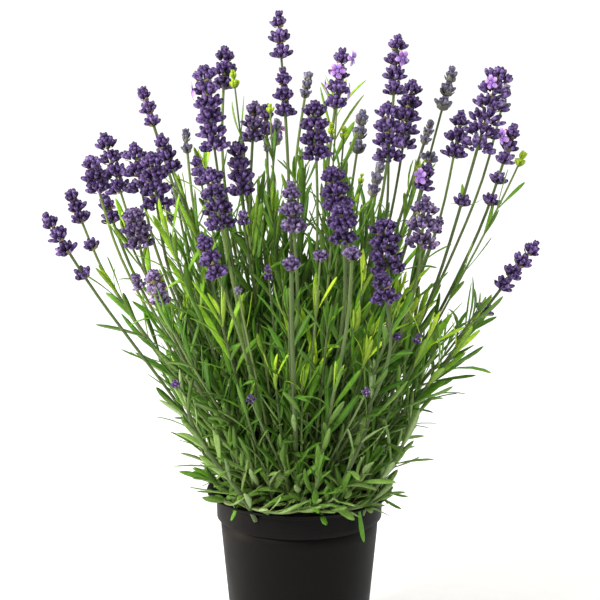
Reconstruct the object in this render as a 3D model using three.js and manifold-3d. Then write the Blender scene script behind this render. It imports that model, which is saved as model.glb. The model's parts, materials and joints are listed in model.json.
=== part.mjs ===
// A potted lavender: a black nursery pot, its soil, a woody crown, flowering stalks and leafy shoots.
// Millimetres, +Z up. The origin is the centre of the pot's underside, and -Y is the front.
import * as THREE from 'three';
import { mergeVertices } from 'three/addons/utils/BufferGeometryUtils.js';
import Module from 'manifold-3d';

const wasm = await Module();
wasm.setup();

// Pot
const potHeight = 126;
const lipRadius = 65;
const lipThickness = 1.4;
const lipDepth = 4;
const lipDish = 1.6;
const lipDishInset = 0.4;
const collarRadius = 57.8;
const collarHeight = 21;
const collarTaper = 0.6;
const collarStep = 1.5;
const innerStep = 1;
const bodyTopRadius = 55.4;
const baseRadius = 46;
const baseBevel = 1;
const wall = 1.6;
const floorThickness = 3;
const potSides = 40;
const drainHoles = 8;
const drainHoleRadius = 4.5;
const drainHoleSides = 12;
const drainRingRadius = 31;
const channelDepth = 1.2;
const channelWidth = 7;
const channelStart = 16;
const channelEnd = 40;

// Soil
const gap = 0.35;
const soilLevel = 114;
const soilEdgeDrop = 2;
const soilFlatRadius = 44;

// Woody crown
const trunkRadius = 7;
const trunkSides = 8;
const trunkFlare = 1.2;
const trunkTopShare = 0.6;
const trunkTop = 122;
const branchStart = 118.6;
const branchSide = 2.8;
const branchRise = 9;
const footHeight = 128;
const footSpread = new THREE.Vector2(0.28, 0.3);

// Stalks
const stemSide = 2.2;
const stemSteps = 5;
const uprightPull = 0.35;
const spikeSides = 5;
const whorlHeight = 8.4;
const waistPlace = 0.15;
const rimPlace = 0.7;
const waistRatio = 0.52;
const tipRatio = 0.55;
const looseWhorlHeight = 8;
const looseWhorlRadius = 8;

// Leafy shoots
const shootSide = 2.4;
const shootSteps = 5;
const leafLength = 38;
const leafWidth = 4.6;
const leafFlatness = 0.3;
const leafShoulder = 0.84;
const leafShoulderPlace = 0.3;
const leafWidestPlace = 0.68;
const leafSpacing = 21;
const leafAngle = 0.62;
const topLeafShare = 0.8;
const topLeafSpread = 0.5;
const firstPairTurn = 0.4;
const bareShare = 0.2;

const finest = 0.04;

const up = new THREE.Vector3(0, 0, 1);
const lineOfLathe = new THREE.Vector3(0, 1, 0);

const looks = {
  pot: { color: 0x232322, roughness: 0.42, metalness: 0 },
  soil: { color: 0x2c1f16, roughness: 0.95, metalness: 0 },
  wood: { color: 0x6d5a44, roughness: 0.85, metalness: 0 },
  spike: { color: 0x4a3378, roughness: 0.75, metalness: 0 },
  pale: { color: 0x6f6a84, roughness: 0.8, metalness: 0 },
  leaf: { color: 0x4c7a2a, roughness: 0.6, metalness: 0 },
};

// Each stalk: the tip, how far the spike leans over its own length in X and Y, the length and girth
// of the spike, and how far below the spike any loose whorls sit.
const stalks = [
  { tip: [-15, 25, 463], lean: [-3, 1], spike: 34, girth: 9 },
  { tip: [-11, -44, 431], lean: [-2, -2], spike: 34, girth: 9 },
  { tip: [-53, 75, 434], lean: [3, 4], spike: 32, girth: 9 },
  { tip: [-64, -44, 433], lean: [-7, -4], spike: 60, girth: 11 },
  { tip: [-115, 88, 403], lean: [-10, 5], spike: 31, girth: 8 },
  { tip: [-95, -25, 384], lean: [-10, -2], spike: 29, girth: 9 },
  { tip: [-85, 119, 368], lean: [-1, 4], spike: 19, girth: 6, pale: true },
  { tip: [-140, 50, 375], lean: [-12, 4], spike: 46, girth: 10 },
  { tip: [-142, -31, 370], lean: [-5, -3], spike: 27, girth: 9 },
  { tip: [-137, 6, 338], lean: [-7, 0], spike: 23, girth: 9 },
  { tip: [-116, 12, 373], lean: [-5, 1], spike: 36, girth: 11 },
  { tip: [-98, -62, 377], lean: [-2, -4], spike: 40, girth: 10 },
  { tip: [-167, 69, 331], lean: [-9, 4], spike: 27, girth: 8, whorls: [13] },
  { tip: [-173, -38, 332], lean: [-19, -3], spike: 34, girth: 9, whorls: [12] },
  { tip: [-31, 31, 400], lean: [3, 1], spike: 30, girth: 9 },
  { tip: [-24, 94, 390], lean: [0, 4], spike: 24, girth: 8 },
  { tip: [-16, 125, 375], lean: [3, 5], spike: 21, girth: 7, pale: true },
  { tip: [-42, -25, 379], lean: [-3, -2], spike: 38, girth: 10 },
  { tip: [-93, 100, 331], lean: [-3, 4], spike: 20, girth: 7, pale: true },
  { tip: [-64, -106, 330], lean: [-13, -5], spike: 33, girth: 8 },
  { tip: [-5, -131, 319], lean: [0, -2], spike: 9, girth: 8 },
  { tip: [34, -125, 325], lean: [0, -2], spike: 9, girth: 8 },
  { tip: [47, -112, 307], lean: [-11, -4], spike: 25, girth: 8 },
  { tip: [54, -94, 338], lean: [-7, -5], spike: 38, girth: 10 },
  { tip: [27, -100, 350], lean: [-3, -5], spike: 29, girth: 9 },
  { tip: [-97, -94, 304], lean: [-6, -5], spike: 26, girth: 8 },
  { tip: [-110, -75, 342], lean: [-3, -5], spike: 29, girth: 10 },
  { tip: [-59, -81, 370], lean: [-8, -6], spike: 44, girth: 11 },
  { tip: [-6, -88, 362], lean: [-3, -5], spike: 36, girth: 9 },
  { tip: [21, -62, 368], lean: [-10, -4], spike: 42, girth: 10 },
  { tip: [84, -62, 348], lean: [1, -4], spike: 37, girth: 11 },
  { tip: [30, 0, 440], lean: [6, 0], spike: 43, girth: 9 },
  { tip: [7, 106, 412], lean: [4, 4], spike: 20, girth: 6, pale: true },
  { tip: [10, -50, 410], lean: [-2, -4], spike: 41, girth: 11 },
  { tip: [70, 56, 444], lean: [2, 3], spike: 44, girth: 9 },
  { tip: [83, 94, 408], lean: [7, 6], spike: 52, girth: 10 },
  { tip: [60, -31, 407], lean: [-2, -3], spike: 42, girth: 11 },
  { tip: [112, 88, 418], lean: [8, 4], spike: 34, girth: 8, pale: true, whorls: [30] },
  { tip: [99, 125, 374], lean: [7, 5], spike: 20, girth: 6, pale: true },
  { tip: [115, 38, 393], lean: [5, 2], spike: 36, girth: 9 },
  { tip: [136, -25, 430], lean: [12, -3], spike: 61, girth: 11, whorls: [32] },
  { tip: [150, 75, 406], lean: [4, 4], spike: 20, girth: 7, pale: true },
  { tip: [151, 19, 385], lean: [8, 1], spike: 30, girth: 8, whorls: [6, 22] },
  { tip: [89, -19, 363], lean: [5, -1], spike: 20, girth: 9 },
  { tip: [46, 62, 390], lean: [5, 3], spike: 33, girth: 9, pale: true },
  { tip: [62, 119, 345], lean: [9, 5], spike: 29, girth: 7, pale: true },
  { tip: [165, -12, 308], lean: [31, -3], spike: 44, girth: 9, whorls: [13] },
];

// Each leafy shoot: the tip, and how far its last stretch leans in X and Y.
const shoots = [
  { tip: [-122, -26, 246], lean: [-20, -6] },
  { tip: [-84, -86, 242], lean: [-14, -12] },
  { tip: [-72, 36, 322], lean: [-5, 3] },
  { tip: [33, 34, 372], lean: [3, 2] },
  { tip: [82, 4, 318], lean: [8, 0] },
  { tip: [116, -36, 238], lean: [20, -6] },
  { tip: [-14, -106, 255], lean: [-2, -14] },
  { tip: [66, -88, 248], lean: [8, -12] },
  { tip: [-58, 112, 280], lean: [-8, 12] },
  { tip: [56, 116, 274], lean: [8, 12] },
];

// A closed geometry as a solid that can be joined and cut.
function toSolid(geometry) {
  const bare = geometry.clone();
  bare.deleteAttribute('normal');
  bare.deleteAttribute('uv');
  const merged = mergeVertices(bare, 1e-4);
  const corners = merged.index.array;
  const kept = [];
  for (let i = 0; i < corners.length; i += 3) {
    const [a, b, c] = [corners[i], corners[i + 1], corners[i + 2]];
    if (a !== b && b !== c && c !== a) kept.push(a, b, c);
  }
  const vertProperties = merged.attributes.position.array;
  return new wasm.Manifold(new wasm.Mesh({ numProp: 3, vertProperties, triVerts: new Uint32Array(kept) }));
}

function toMesh(name, solid, look) {
  const { vertProperties, triVerts } = solid.getMesh();
  const geometry = new THREE.BufferGeometry();
  geometry.setAttribute('position', new THREE.BufferAttribute(vertProperties, 3));
  geometry.setIndex(new THREE.BufferAttribute(triVerts, 1));
  geometry.computeVertexNormals();
  const mesh = new THREE.Mesh(geometry, new THREE.MeshStandardMaterial(look));
  mesh.name = name;
  return mesh;
}

// One solid from several, without the slivers that nearly meeting faces leave.
function join(solids) {
  return solids.reduce((whole, next) => whole.add(next)).simplify(finest);
}

// A turned shape standing on `start` and pointing along `direction`; the profile runs upwards.
function turned(profile, sides, start, direction) {
  const points = profile.map(([radius, height]) => new THREE.Vector2(radius, height));
  const geometry = new THREE.LatheGeometry(points, sides);
  geometry.applyQuaternion(new THREE.Quaternion().setFromUnitVectors(lineOfLathe, direction));
  geometry.translate(start.x, start.y, start.z);
  return toSolid(geometry);
}

// A square rod along a curve.
function rod(curve, side, steps) {
  const half = side / 2;
  const corners = [[-half, -half], [half, -half], [half, half], [-half, half]];
  const section = new THREE.Shape(corners.map(([x, y]) => new THREE.Vector2(x, y)));
  return toSolid(new THREE.ExtrudeGeometry(section, { steps, extrudePath: curve, bevelEnabled: false }));
}

// The way a stalk or shoot grows: steeply out of the crown at `foot`, then bending to follow
// `along` through `neck`, where the flower spike starts. The stem ends halfway up the spike.
function growth(tip, along, spike, shift) {
  const end = new THREE.Vector3(tip[0], tip[1] + shift, tip[2]);
  const neck = end.clone().addScaledVector(along, -spike);
  const seat = end.clone().addScaledVector(along, -spike / 2);
  const foot = new THREE.Vector3(end.x * footSpread.x, end.y * footSpread.y, footHeight);
  const reach = neck.distanceTo(foot);
  const rise = neck.clone().sub(foot).normalize().addScaledVector(up, uprightPull).normalize();
  const low = foot.clone().addScaledVector(rise, reach / 3);
  const high = neck.clone().addScaledVector(along, -reach / 3);
  return { neck, foot, rise, curve: new THREE.CubicBezierCurve3(foot, low, high, seat) };
}

// A flower spike is a column of whorls, each one wider at its top, and tapers at its tip.
function spikeProfile(length, girth) {
  const whorls = Math.max(1, Math.round(length / whorlHeight));
  const pitch = length / whorls;
  const profile = [[0, 0]];
  for (let i = 0; i < whorls; i += 1) {
    const taper = whorls > 1 && i === whorls - 1 ? tipRatio : 1;
    profile.push([girth * waistRatio * taper, pitch * (i + waistPlace)]);
    profile.push([girth * taper, pitch * (i + rimPlace)]);
  }
  profile.push([0, length]);
  return profile;
}

function flowerStalk(row, shift) {
  const along = new THREE.Vector3(row.lean[0], row.lean[1], row.spike).normalize();
  const plan = growth(row.tip, along, row.spike, shift);
  const pieces = [rod(plan.curve, stemSide, stemSteps)];
  pieces.push(turned(spikeProfile(row.spike, row.girth), spikeSides, plan.neck, along));
  for (const drop of row.whorls ?? []) {
    const place = 1 - (row.spike / 2 + drop + looseWhorlHeight) / plan.curve.getLength();
    const spot = plan.curve.getPointAt(place);
    const profile = spikeProfile(looseWhorlHeight, looseWhorlRadius);
    pieces.push(turned(profile, spikeSides, spot, plan.curve.getTangentAt(place)));
  }
  return { plan, solid: join(pieces) };
}

// One narrow leaf, from `start` along `direction`, with its flat side square to `face`.
function leafSolid(start, direction, face, length) {
  const half = leafWidth / 2;
  const profile = [
    [0, 0],
    [half * leafShoulder, length * leafShoulderPlace],
    [half, length * leafWidestPlace],
    [0, length],
  ];
  const points = profile.map(([radius, height]) => new THREE.Vector2(radius, height));
  const geometry = new THREE.LatheGeometry(points, 4);
  geometry.scale(1, 1, leafFlatness);
  const side = new THREE.Vector3().crossVectors(direction, face).normalize();
  const normal = new THREE.Vector3().crossVectors(side, direction).normalize();
  const frame = new THREE.Matrix4().makeBasis(side, direction, normal).setPosition(start);
  geometry.applyMatrix4(frame);
  return toSolid(geometry);
}

// The leaves of a shoot: opposite pairs, each pair a quarter turn from the last.
function shootLeaves(curve) {
  const length = curve.getLength();
  const pairs = Math.floor((length * (1 - bareShare)) / leafSpacing);
  const leaves = [];
  for (let i = 0; i <= pairs; i += 1) {
    const place = 1 - (i * leafSpacing + shootSide) / length;
    const spot = curve.getPointAt(place);
    const tangent = curve.getTangentAt(place);
    const across = new THREE.Vector3(0, 1, 0).cross(tangent).normalize();
    across.applyAxisAngle(tangent, (i * Math.PI) / 2 + firstPairTurn);
    const isTop = i === 0;
    const spread = leafAngle * (isTop ? topLeafSpread : 1);
    const size = leafLength * (isTop ? topLeafShare : 1);
    for (const turn of [1, -1]) {
      const out = across.clone().multiplyScalar(turn);
      const direction = tangent.clone().multiplyScalar(Math.cos(spread)).addScaledVector(out, Math.sin(spread));
      leaves.push(leafSolid(spot, direction, out, size));
    }
  }
  return leaves;
}

const placed = [];

function boxesMeet(a, b) {
  return [0, 1, 2].every((axis) => a.min[axis] < b.max[axis] && b.min[axis] < a.max[axis]);
}

// Whether a solid keeps clear of every piece placed so far.
function isClear(solid) {
  const box = solid.boundingBox();
  return placed.every((other) => !boxesMeet(box, other.box) || other.solid.intersect(solid).isEmpty());
}

function place(solid) {
  placed.push({ solid, box: solid.boundingBox() });
}

// Small moves in depth that part two pieces whose paths would cross.
const shifts = [0, 5, -5, 10, -10, 15, -15, 20, -20, 25, -25];

function firstClear(make) {
  for (const shift of shifts) {
    const made = make(shift);
    if (isClear(made.solid)) return made;
  }
  throw new Error('no clear place');
}

function pot() {
  const collarBottom = potHeight - collarHeight;
  const collarBottomRadius = collarRadius - collarTaper;
  const innerBase = baseRadius - wall;
  const profile = [
    [0, 0],
    [baseRadius - baseBevel, 0],
    [baseRadius, baseBevel],
    [bodyTopRadius, collarBottom - collarStep],
    [collarBottomRadius, collarBottom],
    [collarRadius, potHeight - lipDepth],
    [lipRadius, potHeight - lipThickness],
    [lipRadius, potHeight],
    [collarRadius - lipDishInset, potHeight - lipDish],
    [collarRadius - wall, potHeight - lipDepth],
    [collarBottomRadius - wall, collarBottom + innerStep],
    [bodyTopRadius - wall, collarBottom - innerStep],
    [innerBase, floorThickness],
    [0, floorThickness],
  ];
  let solid = turned(profile, potSides, new THREE.Vector3(), up);
  for (let i = 0; i < drainHoles; i += 1) {
    const angle = (i * 2 * Math.PI) / drainHoles;
    const hole = new THREE.CylinderGeometry(
      drainHoleRadius,
      drainHoleRadius,
      4 * floorThickness,
      drainHoleSides,
    );
    hole.rotateX(Math.PI / 2);
    hole.translate(drainRingRadius * Math.cos(angle), drainRingRadius * Math.sin(angle), 0);
    solid = solid.subtract(toSolid(hole));
    const channel = new THREE.BoxGeometry(channelEnd - channelStart, channelWidth, 2 * channelDepth);
    channel.translate((channelEnd + channelStart) / 2, 0, 0);
    channel.rotateZ(angle);
    solid = solid.subtract(toSolid(channel));
  }
  return toMesh('plastic_pot', solid, looks.pot);
}

function soil() {
  const collarBottom = potHeight - collarHeight;
  const profile = [
    [0, floorThickness + gap],
    [baseRadius - wall - gap, floorThickness + gap],
    [bodyTopRadius - wall - gap, collarBottom - innerStep],
    [bodyTopRadius - wall - gap, soilLevel - soilEdgeDrop],
    [soilFlatRadius, soilLevel],
    [0, soilLevel],
  ];
  return toMesh('potting_soil', turned(profile, potSides, new THREE.Vector3(), up), looks.soil);
}

// The trunk, with one branch to the foot of each stalk and shoot.
function crown(plans) {
  const trunkBottom = soilLevel + gap;
  const profile = [
    [0, 0],
    [trunkRadius * trunkFlare, 0],
    [trunkRadius, (trunkTop - trunkBottom) / 2],
    [trunkRadius * trunkTopShare, trunkTop - trunkBottom],
    [0, trunkTop - trunkBottom],
  ];
  const pieces = [turned(profile, trunkSides, new THREE.Vector3(0, 0, trunkBottom), up)];
  for (const { foot, rise } of plans) {
    const start = new THREE.Vector3(foot.x, foot.y, 0);
    start.setLength(trunkRadius * trunkTopShare).setZ(branchStart);
    const bend = foot.clone().addScaledVector(rise, -branchRise);
    const end = foot.clone().addScaledVector(rise, -gap);
    pieces.push(rod(new THREE.QuadraticBezierCurve3(start, bend, end), branchSide, 1));
  }
  return toMesh('woody_crown', join(pieces), looks.wood);
}

function numbered(word, index) {
  return `${word}_${String(index + 1).padStart(2, '0')}`;
}

const group = new THREE.Group();
const plans = [];
stalks.forEach((row, index) => {
  const made = firstClear((shift) => flowerStalk(row, shift));
  place(made.solid);
  plans.push(made.plan);
  group.add(toMesh(numbered('flower_stalk', index), made.solid, row.pale ? looks.pale : looks.spike));
});
const bareShoots = shoots.map((row) => {
  const along = new THREE.Vector3(row.lean[0], row.lean[1], leafLength).normalize();
  const made = firstClear((shift) => {
    const plan = growth(row.tip, along, 0, shift);
    return { plan, solid: rod(plan.curve, shootSide, shootSteps) };
  });
  place(made.solid);
  plans.push(made.plan);
  return made;
});
bareShoots.forEach((made, index) => {
  placed.splice(placed.findIndex((other) => other.solid === made.solid), 1);
  const leaves = shootLeaves(made.plan.curve).filter(isClear);
  const solid = join([made.solid, ...leaves]);
  place(solid);
  group.add(toMesh(numbered('leafy_shoot', index), solid, looks.leaf));
});
group.add(crown(plans));
group.add(soil());
group.add(pot());

export default group;
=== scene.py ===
import bisect
import json
import math
import random

import bmesh
import bpy
from mathutils import Matrix, Vector


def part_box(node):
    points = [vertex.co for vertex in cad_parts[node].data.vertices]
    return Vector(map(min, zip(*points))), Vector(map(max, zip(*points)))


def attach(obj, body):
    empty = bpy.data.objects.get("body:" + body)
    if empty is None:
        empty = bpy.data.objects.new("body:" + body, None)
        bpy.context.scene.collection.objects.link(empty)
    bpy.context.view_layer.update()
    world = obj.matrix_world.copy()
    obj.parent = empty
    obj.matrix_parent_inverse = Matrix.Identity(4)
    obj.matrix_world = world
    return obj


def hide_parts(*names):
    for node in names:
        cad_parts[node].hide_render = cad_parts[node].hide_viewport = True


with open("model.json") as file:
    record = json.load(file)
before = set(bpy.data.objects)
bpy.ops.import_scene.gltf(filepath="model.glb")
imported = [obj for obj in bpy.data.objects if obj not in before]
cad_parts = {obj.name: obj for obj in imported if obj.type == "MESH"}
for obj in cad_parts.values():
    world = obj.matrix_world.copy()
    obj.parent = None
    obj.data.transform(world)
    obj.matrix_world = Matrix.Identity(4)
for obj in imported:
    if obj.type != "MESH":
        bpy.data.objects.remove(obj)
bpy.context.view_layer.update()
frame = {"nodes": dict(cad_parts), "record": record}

scene = bpy.context.scene
mm = 0.001
upward = Vector((0, 0, 1))


def srgb(code):
    parts = [int(code[i:i + 2], 16) / 255 for i in (1, 3, 5)]
    return [c / 12.92 if c <= 0.04045 else ((c + 0.055) / 1.055) ** 2.4 for c in parts] + [1.0]


def newMaterial(name, **sockets):
    material = bpy.data.materials.new(name)
    material.use_nodes = True
    tree = material.node_tree
    shader = tree.nodes["Principled BSDF"]
    for socket, value in sockets.items():
        shader.inputs[socket.replace("_", " ")].default_value = value
    return material, tree, shader


def addNode(tree, kind, inputs=None, **settings):
    # an input is a number, a vector, a colour code or a socket to link
    node = tree.nodes.new("ShaderNode" + kind)
    for name, value in settings.items():
        setattr(node, name, value)
    for name, value in (inputs or {}).items():
        if isinstance(value, bpy.types.NodeSocket):
            tree.links.new(value, node.inputs[name])
        else:
            node.inputs[name].default_value = srgb(value) if isinstance(value, str) else value
    return node


def addMath(tree, operation, *values):
    return addNode(tree, "Math", dict(enumerate(values)), operation=operation).outputs["Value"]


def addRange(tree, value, fromMin, fromMax, toMin, toMax):
    inputs = {"Value": value, "From Min": fromMin, "From Max": fromMax, "To Min": toMin, "To Max": toMax}
    return addNode(tree, "MapRange", inputs).outputs["Result"]


def addRamp(tree, value, stops):
    # the first two stops are the two that a new ramp has
    node = addNode(tree, "ValToRGB", {"Fac": value})
    ramp = node.color_ramp.elements
    for index, (place, code) in enumerate(stops):
        element = ramp[index] if index < 2 else ramp.new(place)
        element.position, element.color = place, srgb(code)
    return node.outputs["Color"]


def mixColours(tree, share, first, second):
    return addNode(tree, "Mix", {0: share, 6: first, 7: second}, data_type="RGBA").outputs[2]


def readPlace(tree):
    return addNode(tree, "TexCoord").outputs["Object"]


def readTint(tree):
    return addNode(tree, "Attribute", attribute_name="tint").outputs["Fac"]


def readGrowth(tree):
    # X runs round a piece and Y along it
    growth = addNode(tree, "UVMap", uv_map="growth").outputs["UV"]
    return addNode(tree, "SeparateXYZ", {"Vector": growth}).outputs


def addNoise(tree, scale, detail, place=None):
    place = readPlace(tree) if place is None else place
    return addNode(tree, "TexNoise", {"Scale": scale, "Detail": detail, "Vector": place}).outputs["Fac"]


def dress(tree, shader, colour, height, strength, depth):
    # colours the skin and raises its grain
    tree.links.new(colour, shader.inputs["Base Color"])
    bump = addNode(tree, "Bump", {"Strength": strength, "Distance": depth, "Height": height})
    tree.links.new(bump.outputs["Normal"], shader.inputs["Normal"])


def frameFor(direction, towards, place):
    # Z runs along `direction`, and Y leans to `towards`
    z = direction.normalized()
    y = towards - z * towards.dot(z)
    y.normalize()
    x = y.cross(z)
    return Matrix.Translation(place) @ Matrix((x, y, z)).transposed().to_4x4()


def station(height, x, y):
    # the place of one outline, `x` and `y` wide from its middle
    return Matrix.Translation((0, 0, height)) @ Matrix.Diagonal((x, y, 1, 1))


def outwardAt(angle, rise=0.0):
    return Vector((math.cos(angle), math.sin(angle), rise))


def tilted(axis, across, tilt):
    return axis * math.cos(tilt) + across * math.sin(tilt)


def measurePath(points):
    lengths = [0.0]
    for a, b in zip(points, points[1:]):
        lengths.append(lengths[-1] + (b - a).length)
    return {"points": points, "lengths": lengths, "total": lengths[-1]}


def smoothPath(points, steps=10):
    guides = [points[0] * 2 - points[1]] + points + [points[-1] * 2 - points[-2]]
    dense = []
    for a, b, c, d in zip(guides, guides[1:], guides[2:], guides[3:]):
        for step in range(steps):
            t = step / steps
            curve = (3 * b - a - 3 * c + d) * t + (2 * a - 5 * b + 4 * c - d)
            dense.append(b + 0.5 * t * ((c - a) + t * curve))
    return measurePath(dense + [points[-1].copy()])


def bezierPath(a, b, c, d, steps=24):
    points = []
    for step in range(steps + 1):
        t = step / steps
        s = 1 - t
        points.append(a * s ** 3 + b * 3 * s * s * t + c * 3 * s * t * t + d * t ** 3)
    return measurePath(points)


def placeOn(path, distance):
    points, lengths = path["points"], path["lengths"]
    i = min(max(bisect.bisect_right(lengths, distance) - 1, 0), len(points) - 2)
    share = (distance - lengths[i]) / (lengths[i + 1] - lengths[i])
    before, after = points[max(i - 1, 0)], points[min(i + 2, len(points) - 1)]
    return points[i].lerp(points[i + 1], share), (after - before).normalized()


def ringOf(sides):
    return [tuple(outwardAt(2 * math.pi * i / sides).xy) for i in range(sides)]


def newShape():
    bm = bmesh.new()
    bm.loops.layers.uv.new("growth")
    bm.verts.layers.float.new("tint")
    return bm


def sweep(bm, outline, stations, tint=0.5):
    # carries an outline through a row of places and closes both ends
    rim = bmesh.ops.create_circle(bm, segments=len(outline), radius=1)["verts"]
    for vert, (x, y) in zip(rim, outline):
        vert.co = stations[0] @ Vector((x, y, 0))
    edges = list(dict.fromkeys(edge for vert in rim for edge in vert.link_edges))
    allVerts, ends = list(rim), [edges]
    for before, after in zip(stations, stations[1:]):
        made = bmesh.ops.extrude_edge_only(bm, edges=edges)["geom"]
        verts = [item for item in made if isinstance(item, bmesh.types.BMVert)]
        fresh = set(verts)
        edges = [item for item in made if isinstance(item, bmesh.types.BMEdge) and set(item.verts) <= fresh]
        bmesh.ops.transform(bm, matrix=after @ before.inverted(), verts=verts)
        allVerts += verts
    ends.append(edges)
    for rimEdges in ends:
        bmesh.ops.contextual_create(bm, geom=rimEdges)
    layer = bm.verts.layers.float["tint"]
    for vert in allVerts:
        vert[layer] = tint
    faces = list(dict.fromkeys(face for vert in allVerts for face in vert.link_faces))
    for face in faces:
        face.smooth = True
    bmesh.ops.recalc_face_normals(bm, faces=faces)


def spinProfile(bm, profile, segments):
    # turns a row of (radius, height) places once round the Z axis
    verts = [bm.verts.new((x, 0, z)) for x, z in profile]
    edges = [bm.edges.new(pair) for pair in zip(verts, verts[1:])]
    bmesh.ops.spin(bm, geom=verts + edges, cent=(0, 0, 0), axis=(0, 0, 1), angle=2 * math.pi,
                   steps=segments, use_merge=True, use_duplicate=False)
    bmesh.ops.remove_doubles(bm, verts=bm.verts, dist=0.02 * mm)
    bmesh.ops.recalc_face_normals(bm, faces=bm.faces)
    for face in bm.faces:
        face.smooth = True


def mapAround(bm, length):
    # u runs once round the Z axis, v from the base to the tip
    layer = bm.loops.layers.uv["growth"]
    for face in bm.faces:
        centre = face.calc_center_median()
        middle = math.atan2(centre.y, centre.x)
        for loop in face.loops:
            co = loop.vert.co
            angle = math.atan2(co.y, co.x) if co.xy.length > 1e-7 else middle
            angle += 2 * math.pi * round((middle - angle) / (2 * math.pi))
            loop[layer].uv = (angle / (2 * math.pi), co.z / length)


def bend(bm, length, forward=0.0, sideways=0.0, twist=0.0):
    # bends a straight piece that stands on Z, more and more towards its tip
    for vert in bm.verts:
        t = max(vert.co.z / length, 0)
        flat = Matrix.Rotation(twist * t, 3, "Z") @ Vector((vert.co.x, vert.co.y, 0))
        angle = forward * t
        reach = length * t * (1 - angle * angle / 6)
        arc = Vector((sideways * length * t * t, reach * math.sin(angle / 2), reach * math.cos(angle / 2)))
        vert.co = Matrix.Rotation(-angle, 3, "X") @ flat + arc


def toMesh(bm, name):
    mesh = bpy.data.meshes.new(name)
    bm.to_mesh(mesh)
    bm.free()
    return mesh


def addCopy(bm, template, matrix, tint):
    copy = template.copy()
    copy.transform(matrix)
    copy.attributes["tint"].data.foreach_set("value", [tint] * len(copy.vertices))
    bm.from_mesh(copy)
    bpy.data.meshes.remove(copy)


def paint(bm, painted, slot):
    # gives a material slot to the faces made since `painted`, and returns the new count
    bm.faces.ensure_lookup_table()
    for face in bm.faces[painted:]:
        face.material_index = slot
    return len(bm.faces)


def finishPiece(bm, name, materials, nodes):
    mesh = toMesh(bm, name)
    for material in materials:
        mesh.materials.append(material)
    piece = bpy.data.objects.new(name, mesh)
    scene.collection.objects.link(piece)
    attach(piece, "root")
    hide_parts(*nodes)
    return piece


# Lavender leaf: satin green above with a sunken midrib, finely felted and greyer below
def makeLeafBlade():
    material, tree, shader = newMaterial("lavender_leaf_felted", Roughness=0.5, IOR=1.42,
                                         Specular_IOR_Level=0.35, Sheen_Weight=0.08, Sheen_Roughness=0.5,
                                         Sheen_Tint=srgb("#e6efc8"))
    growth = readGrowth(tree)
    mottle = addRange(tree, addNoise(tree, 380.0, 3.0), 0.3, 0.7, -0.07, 0.07)
    toned = addMath(tree, "ADD", readTint(tree), mottle)
    # low tints are old grey-green leaves, high ones the yellow-green of new growth; the deep green near a
    # third is partly the darker green of older leaves and partly painted shade for the leaves inside the
    # plant
    above = addRamp(tree, toned, [(0.0, "#7b994c"), (1.0, "#bcda30"), (0.16, "#598422"), (0.35, "#3a680b"),
                                  (0.6, "#528812"), (0.82, "#82b31c")])
    below = addRamp(tree, toned, [(0.0, "#89a168"), (1.0, "#a9c440"), (0.16, "#658538"), (0.4, "#4c7020"),
                                  (0.65, "#5d8626")])
    # the midrib lies in the middle of the upper side, where X is a quarter
    fromRib = addMath(tree, "ABSOLUTE", addMath(tree, "SUBTRACT", growth["X"], 0.25))
    ribbed = mixColours(tree, addRange(tree, fromRib, 0.05, 0.01, 0.0, 0.4), above, "#86a83e")
    sided = mixColours(tree, addMath(tree, "LESS_THAN", growth["X"], 0.0), ribbed, below)
    # the base of a leaf is paler where it clasps the stem
    pale = addRange(tree, growth["Y"], 0.12, 0.0, 0.0, 0.4)
    dress(tree, shader, mixColours(tree, pale, sided, "#93a860"), addNoise(tree, 2500.0, 2.0), 0.25, 0.0002)
    return material


# Ribbed, downy flower cups, with a painted highlight near the mouth and painted shade at the foot; the fine
# hairs catch the light at the edges
def makeCalyxDown(name, stops, footAndShadeColour, rimHighlightColour, tipColour):
    ribs = 13
    material, tree, shader = newMaterial(name, Roughness=0.6, IOR=1.4, Specular_IOR_Level=0.3,
                                         Sheen_Weight=0.2, Sheen_Roughness=0.4, Sheen_Tint=srgb("#cbb8e8"))
    growth = readGrowth(tree)
    mottle = addRange(tree, addNoise(tree, 700.0, 3.0), 0.3, 0.7, -0.2, 0.2)
    toned = addMath(tree, "ADD", readTint(tree), mottle)
    wave = addMath(tree, "SINE", addMath(tree, "MULTIPLY", growth["X"], ribs * 2 * math.pi))
    lit = addMath(tree, "ADD", toned, addMath(tree, "MULTIPLY", wave, 0.11))
    # the foot of each cup turns to the foot colour: partly its own greyer base, partly painted shade where
    # the cups crowd the stem
    foot = addRange(tree, growth["Y"], 0.5, 0.1, 0.0, 0.9)
    shadedAtFoot = mixColours(tree, foot, addRamp(tree, lit, stops), footAndShadeColour)
    # a pale band near the mouth of the cup is a painted highlight, round a dark bud
    rim = addRamp(tree, growth["Y"], [(0.66, "#000000"), (0.93, "#000000"), (0.79, "#a0a0a0"),
                                      (0.86, "#8c8c8c")])
    rimHighlighted = mixColours(tree, rim, shadedAtFoot, rimHighlightColour)
    tip = addRange(tree, growth["Y"], 0.86, 0.95, 0.0, 0.85)
    relief = addMath(tree, "MULTIPLY_ADD", addNoise(tree, 3500.0, 2.0), 0.6, wave)
    dress(tree, shader, mixColours(tree, tip, rimHighlighted, tipColour), relief, 0.4, 0.00015)
    return material


# Thin, crinkled petals: pale lilac, darker in the throat
def makePetal():
    material, tree, shader = newMaterial("lavender_petal", Roughness=0.5, IOR=1.4, Sheen_Weight=0.2,
                                         Sheen_Tint=srgb("#efe2ff"), Subsurface_Weight=0.3,
                                         Subsurface_Scale=0.001)
    crinkle = addNoise(tree, 900.0, 3.0)
    share = addMath(tree, "ADD", readGrowth(tree)["Y"], addMath(tree, "MULTIPLY_ADD", crinkle, 0.3, -0.15))
    colour = addRamp(tree, share, [(0.0, "#6f4a9e"), (1.0, "#d6b4ec"), (0.45, "#a077c6"), (0.75, "#bf93da")])
    dress(tree, shader, colour, crinkle, 0.3, 0.0002)
    return material


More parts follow.
